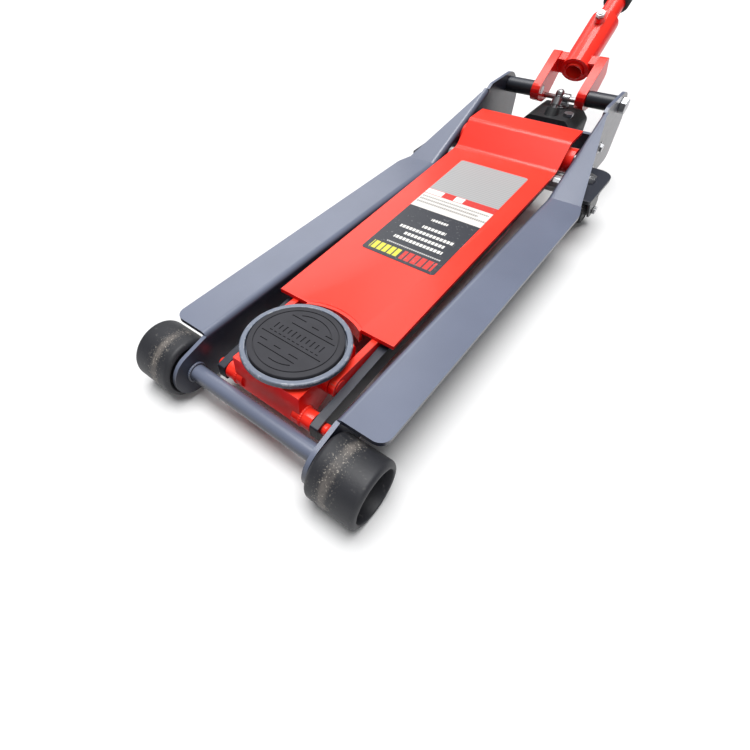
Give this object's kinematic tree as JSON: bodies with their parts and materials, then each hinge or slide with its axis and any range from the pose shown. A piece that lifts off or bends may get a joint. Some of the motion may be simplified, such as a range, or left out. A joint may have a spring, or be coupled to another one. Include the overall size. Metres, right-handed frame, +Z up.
{
  "type": "hydraulic floor jack",
  "caption": "Low-profile hydraulic trolley jack: wheeled steel frame, pivoting lift arm with level swivelling saddle, ram, pump and hinged handle.",
  "frame": {"origin": "on the floor under the middle of the whole jack's bounding box, with the handle lowered", "axes": "+X across the jack to its right, +Y from the front wheels towards the handle, +Z up"},
  "size_m": [0.308, 1.622, 0.6218],
  "materials": {
    "frame_paint": "satin blue-grey paint over folded steel",
    "red_paint": "glossy red paint",
    "black_steel": "satin dark paint on flat bar and brackets",
    "bright_steel": "zinc-plated steel",
    "chromed_rod": "hard chrome, ground",
    "cast_iron": "painted casting, sandy skin",
    "saddle_paint": "grey-blue paint, worn at the rim",
    "pad_rubber": "matte moulded rubber",
    "wheel_plastic": "dusty moulded nylon",
    "grip_rubber": "ribbed rubber grip",
    "foam_sleeve": "closed-cell foam sleeve"
  },
  "bodies": {
    "chassis": {"side_plate_left": "frame_paint", "side_plate_right": "frame_paint", "front_axle_tube": "frame_paint", "front_axle_shaft": "bright_steel", "power_unit_plate": "frame_paint", "arm_shaft": "bright_steel", "arm_shaft_nut": "bright_steel", "rod_rear_pin_left": "bright_steel", "rod_rear_pin_right": "bright_steel", "caster_plate_left": "black_steel", "caster_plate_right": "black_steel", "caster_kingpin_left": "bright_steel", "caster_kingpin_right": "bright_steel", "ram_cylinder": "black_steel", "cylinder_gland": "bright_steel", "pump_block": "cast_iron", "filler_plug": "bright_steel", "plunger_gland": "bright_steel", "socket_bolt_left": "bright_steel", "socket_bolt_right": "bright_steel", "socket_spacer_left": "black_steel", "socket_spacer_right": "black_steel", "return_spring_left": "bright_steel", "return_spring_right": "bright_steel"},
    "front_wheel_left": {"front_wheel_left": "wheel_plastic"},
    "front_wheel_right": {"front_wheel_right": "wheel_plastic"},
    "caster_left": {"caster_fork_left": "black_steel", "caster_axle_left": "bright_steel"},
    "caster_right": {"caster_fork_right": "black_steel", "caster_axle_right": "bright_steel"},
    "caster_wheel_left": {"caster_wheel_left": "wheel_plastic"},
    "caster_wheel_right": {"caster_wheel_right": "wheel_plastic"},
    "lift_arm": {"arm_cheek_left": "red_paint", "arm_cheek_right": "red_paint", "arm_top_plate": "red_paint", "arm_brace": "red_paint", "arm_pivot_tube": "red_paint", "ram_pin": "bright_steel", "yoke_pin_left": "bright_steel", "yoke_pin_right": "bright_steel"},
    "link_rod_left": {"link_rod_left": "black_steel"},
    "link_rod_right": {"link_rod_right": "black_steel"},
    "saddle_yoke": {"saddle_yoke": "red_paint", "link_pin_left": "red_paint", "link_pin_right": "red_paint"},
    "saddle": {"saddle_cup": "saddle_paint", "saddle_pad": "pad_rubber", "saddle_snap_ring": "bright_steel"},
    "ram": {"ram_rod": "chromed_rod", "ram_head": "cast_iron"},
    "handle_socket": {"handle_socket": "red_paint", "pump_roller": "bright_steel", "handle_screw": "bright_steel"},
    "handle": {"handle_lower": "red_paint", "handle_upper": "red_paint", "handle_button": "bright_steel", "handle_grip": "grip_rubber", "handle_bumper": "foam_sleeve"},
    "pump_plunger": {"pump_plunger": "bright_steel"},
    "release_spindle": {"release_spindle": "bright_steel"}
  },
  "joints": [
    {"name": "arm_lift", "type": "hinge", "parent": "chassis", "child": "lift_arm", "pos_m": [0, -0.175, 0.092], "axis": [-1, 0, 0], "range_deg": [0, 49.5], "deforming": ["return_spring_left", "return_spring_right"]},
    {"name": "link_rod_left_pivot", "type": "hinge", "parent": "chassis", "child": "link_rod_left", "pos_m": [-0.0665, -0.216, 0.074], "axis": [-1, 0, 0], "range_deg": [0, 49.6]},
    {"name": "link_rod_right_pivot", "type": "hinge", "parent": "chassis", "child": "link_rod_right", "pos_m": [0.0665, -0.216, 0.074], "axis": [-1, 0, 0], "range_deg": [0, 49.6]},
    {"name": "yoke_level", "type": "hinge", "parent": "lift_arm", "child": "saddle_yoke", "pos_m": [0, -0.705, 0.054], "axis": [-1, 0, 0], "range_deg": [-49.6, 0]},
    {"name": "saddle_swivel", "type": "hinge", "parent": "saddle_yoke", "child": "saddle", "pos_m": [0, -0.703, 0.07], "axis": [0, 0, 1], "continuous": true},
    {"name": "ram_stroke", "type": "slide", "parent": "chassis", "child": "ram", "axis": [0, -1, 0], "range_m": [0, 0.0485]},
    {"name": "front_wheel_left_roll", "type": "hinge", "parent": "chassis", "child": "front_wheel_left", "pos_m": [-0.1255, -0.775, 0.036], "axis": [1, 0, 0], "continuous": true},
    {"name": "front_wheel_right_roll", "type": "hinge", "parent": "chassis", "child": "front_wheel_right", "pos_m": [0.1255, -0.775, 0.036], "axis": [1, 0, 0], "continuous": true},
    {"name": "caster_left_swivel", "type": "hinge", "parent": "chassis", "child": "caster_left", "pos_m": [-0.118, -0.187, 0.06], "axis": [0, 0, 1], "continuous": true},
    {"name": "caster_right_swivel", "type": "hinge", "parent": "chassis", "child": "caster_right", "pos_m": [0.118, -0.187, 0.06], "axis": [0, 0, 1], "continuous": true},
    {"name": "caster_wheel_left_roll", "type": "hinge", "parent": "caster_left", "child": "caster_wheel_left", "pos_m": [-0.118, -0.167, 0.025], "axis": [1, 0, 0], "continuous": true},
    {"name": "caster_wheel_right_roll", "type": "hinge", "parent": "caster_right", "child": "caster_wheel_right", "pos_m": [0.118, -0.167, 0.025], "axis": [1, 0, 0], "continuous": true},
    {"name": "handle_pump", "type": "hinge", "parent": "chassis", "child": "handle_socket", "pos_m": [0, -0.027, 0.128], "axis": [1, 0, 0], "range_deg": [0, 55]},
    {"name": "plunger_stroke", "type": "slide", "parent": "chassis", "child": "pump_plunger", "axis": [0, 0, 1], "range_m": [0, 0.0245]},
    {"name": "handle_twist", "type": "hinge", "parent": "handle_socket", "child": "handle", "pos_m": [0, -0.027, 0.128], "axis": [0, 0.866, 0.5], "range_deg": [0, 90]},
    {"name": "release_turn", "type": "hinge", "parent": "chassis", "child": "release_spindle", "pos_m": [0, -0.027, 0.128], "axis": [0, 0.5, 0.866], "range_deg": [0, 90.5]}
  ],
  "couplings": [
    {"joint": "link_rod_left_pivot", "follows": "arm_lift", "ratio": 1},
    {"joint": "link_rod_right_pivot", "follows": "arm_lift", "ratio": 1},
    {"joint": "yoke_level", "follows": "arm_lift", "ratio": -1},
    {"joint": "ram_stroke", "follows": "arm_lift", "m_per_rad": 0.055507},
    {"joint": "plunger_stroke", "follows": "handle_pump", "m_per_rad": 0.024993},
    {"joint": "release_turn", "follows": "handle_twist", "ratio": 1}
  ]
}
